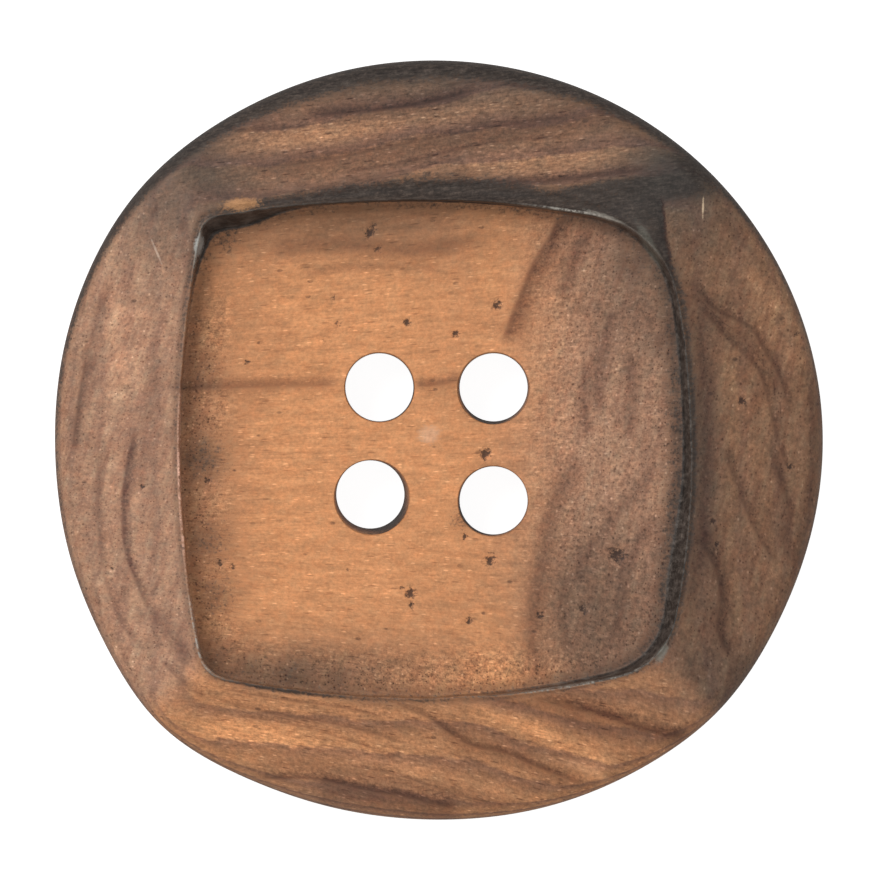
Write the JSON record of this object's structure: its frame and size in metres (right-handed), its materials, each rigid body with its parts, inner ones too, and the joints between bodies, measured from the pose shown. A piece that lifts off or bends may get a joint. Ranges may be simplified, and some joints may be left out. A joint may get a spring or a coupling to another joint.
{
  "type": "sew on button",
  "caption": "Round carved wooden coat button with a sunken bowed-square well, a faceted rim and thread holes, flat on the back.",
  "frame": {"origin": "centre of the flat back face, in the middle of the outline, between the thread holes", "axes": "+Z out of the carved front, +X along the wood's fibres, +Y up as the button is worn"},
  "size_m": [0.028, 0.0277, 0.0042],
  "materials": {
    "wood": "satin, oiled and flame-darkened along its edges"
  },
  "bodies": {
    "root": {"button_body": "wood"}
  },
  "joints": []
}
